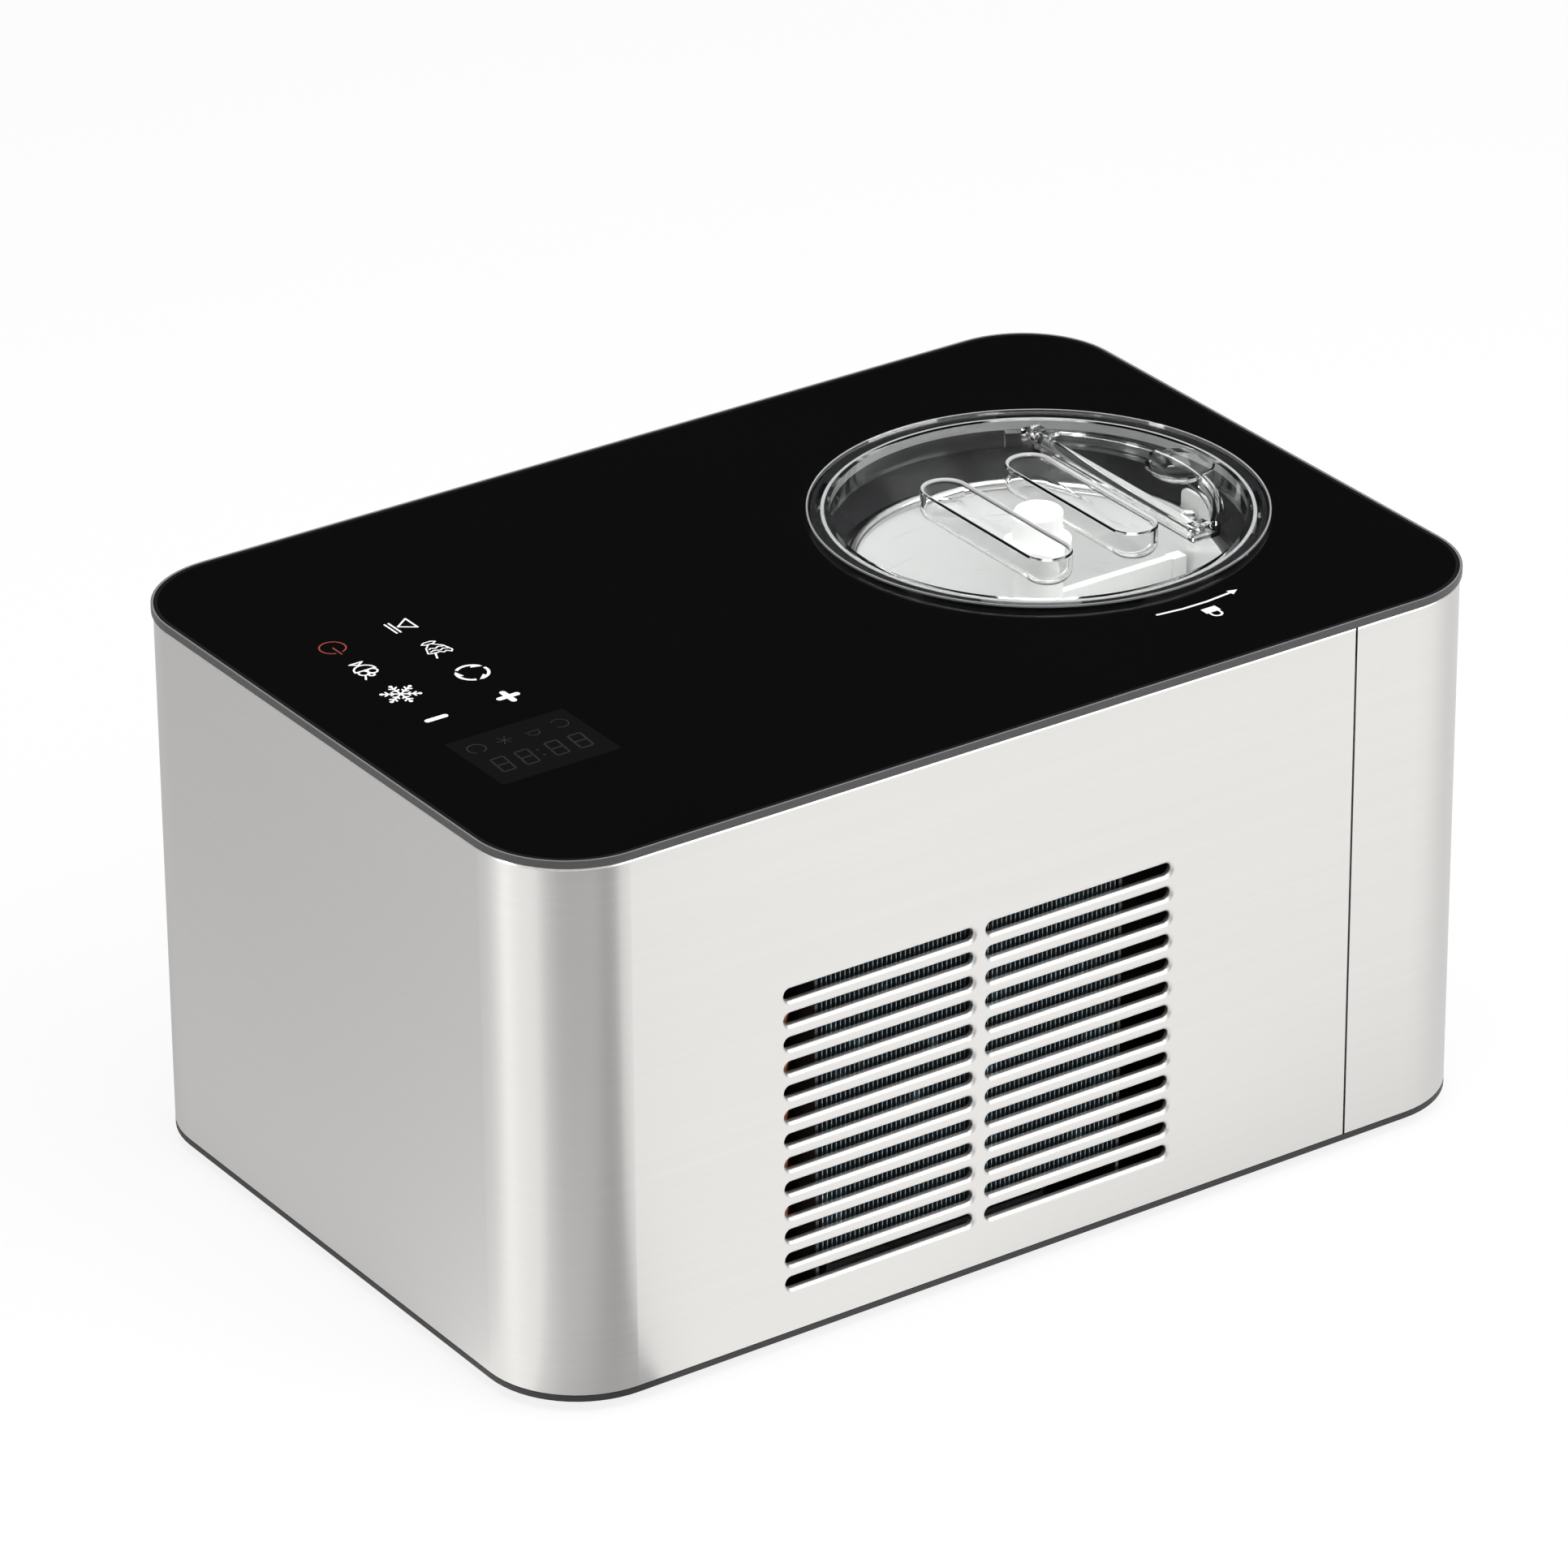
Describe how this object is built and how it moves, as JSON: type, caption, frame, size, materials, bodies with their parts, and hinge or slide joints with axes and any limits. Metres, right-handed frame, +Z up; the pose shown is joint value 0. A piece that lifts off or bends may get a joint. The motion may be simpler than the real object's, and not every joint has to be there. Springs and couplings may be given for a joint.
{
  "type": "ice cream maker",
  "caption": "Self-cooling table-top ice cream maker: steel case with air slots, glass touch top, lift-out bowl with geared paddle, and a clear bayonet lid with a hinged filler flap.",
  "frame": {"origin": "on the floor plane under the feet, midway along and across the case", "axes": "+X along the case towards the touch-key end, +Y across it towards the side with the air slots, +Z up"},
  "size_m": [0.4012, 0.2692, 0.2128],
  "materials": {
    "steel_wrap": "horizontal brushing round the case",
    "black_glass": "polished",
    "frame_plastic": "satin grey rim, black throat",
    "black_plastic": "matt",
    "black_rubber": "matt",
    "zinc_sheet": "dull zinc",
    "fastener_steel": "zinc plated",
    "pot_aluminium": "turned",
    "bowl_aluminium": "satin",
    "copper": "drawn copper tube",
    "foam": "foamed in place",
    "gearbox_plastic": "moulded",
    "bush_bronze": "sintered",
    "shaft_steel": "ground",
    "gear_plastic": "moulded",
    "compressor_enamel": "black enamel",
    "fin_aluminium": "dark coated",
    "circuit_board": "lacquered",
    "display_plastic": "smoked",
    "pad_metal": "sprung contact",
    "ear_plastic": "light grey",
    "bail_steel": "polished wire",
    "paddle_plastic": "moulded",
    "lid_clear": "clear",
    "flap_clear": "clear",
    "gasket_silicone": "translucent grey"
  },
  "bodies": {
    "housing": {"housing_wrap": "steel_wrap", "glass_panel": "black_glass", "top_frame": "frame_plastic", "base_pan": "black_plastic", "cord_gland": "black_plastic", "terminal_cover": "black_plastic", "corner_posts": "black_plastic", "fan_frame": "black_plastic", "board_components": "black_plastic", "rubber_feet": "black_rubber", "compressor_grommets": "black_rubber", "shaft_seal": "black_rubber", "seam_strip": "zinc_sheet", "condenser_end_plates": "zinc_sheet", "fan_bracket": "zinc_sheet", "compressor_plate": "zinc_sheet", "case_screws": "fastener_steel", "pot_screws": "fastener_steel", "gearbox_screws": "fastener_steel", "board_screws": "fastener_steel", "compressor_bolts": "fastener_steel", "cooling_pot": "pot_aluminium", "evaporator_coil": "copper", "condenser_tube": "copper", "discharge_pipe": "copper", "liquid_pipe": "copper", "capillary_tube": "copper", "suction_pipe": "copper", "filter_drier": "copper", "insulation_jacket": "foam", "gearbox_housing": "gearbox_plastic", "gearbox_cover": "gearbox_plastic", "shaft_bush": "bush_bronze", "idler_pin": "shaft_steel", "motor_can": "shaft_steel", "compressor_shell": "compressor_enamel", "condenser_fins": "fin_aluminium", "control_board": "circuit_board", "power_board": "circuit_board", "display_module": "display_plastic", "touch_pads": "pad_metal"},
    "bowl": {"bowl": "bowl_aluminium", "bowl_ears": "ear_plastic"},
    "paddle": {"paddle": "paddle_plastic"},
    "bail": {"bail_handle": "bail_steel"},
    "lid_gasket": {"lid_gasket": "gasket_silicone"},
    "lid": {"lid": "lid_clear"},
    "flap": {"filler_flap": "flap_clear"},
    "drive": {"output_gear": "gear_plastic", "drive_shaft": "shaft_steel"},
    "idler": {"idler_gear": "gear_plastic"},
    "motor_rotor": {"motor_pinion": "gear_plastic", "motor_shaft": "shaft_steel"},
    "fan": {"fan_rotor": "black_plastic"}
  },
  "joints": [
    {"name": "bowl_lift", "type": "slide", "parent": "housing", "child": "bowl", "axis": [0, 0, 1], "range_m": [0, 0.15]},
    {"name": "paddle_spin", "type": "hinge", "parent": "bowl", "child": "paddle", "pos_m": [-0.0982, 0, 0.1], "axis": [0, 0, 1], "continuous": true},
    {"name": "bail_swing", "type": "hinge", "parent": "bowl", "child": "bail", "pos_m": [-0.0982, 0, 0.1873], "axis": [-1, 0, 0], "range_deg": [0, 14]},
    {"name": "lid_lift", "type": "slide", "parent": "bowl", "child": "lid_gasket", "axis": [0, 0, 1], "range_m": [0, 0.12]},
    {"name": "lid_turn", "type": "hinge", "parent": "lid_gasket", "child": "lid", "pos_m": [-0.0982, 0, 0.208], "axis": [0, 0, 1], "range_deg": [0, 28]},
    {"name": "flap_swing", "type": "hinge", "parent": "lid", "child": "flap", "pos_m": [-0.1317, 0, 0.2098], "axis": [0, 1, 0], "range_deg": [0, 105]},
    {"name": "drive_spin", "type": "hinge", "parent": "housing", "child": "drive", "pos_m": [-0.0982, 0, 0.02], "axis": [0, 0, 1], "continuous": true},
    {"name": "idler_spin", "type": "hinge", "parent": "housing", "child": "idler", "pos_m": [-0.0632, 0, 0.02], "axis": [0, 0, 1], "continuous": true},
    {"name": "motor_spin", "type": "hinge", "parent": "housing", "child": "motor_rotor", "pos_m": [-0.0332, 0, 0.02], "axis": [0, 0, 1], "continuous": true},
    {"name": "fan_spin", "type": "hinge", "parent": "housing", "child": "fan", "pos_m": [0.022, 0.0905, 0.084], "axis": [0, 1, 0], "continuous": true}
  ],
  "couplings": [
    {"joint": "drive_spin", "follows": "paddle_spin", "ratio": 1},
    {"joint": "idler_spin", "follows": "paddle_spin", "ratio": -4},
    {"joint": "motor_spin", "follows": "paddle_spin", "ratio": 16}
  ]
}
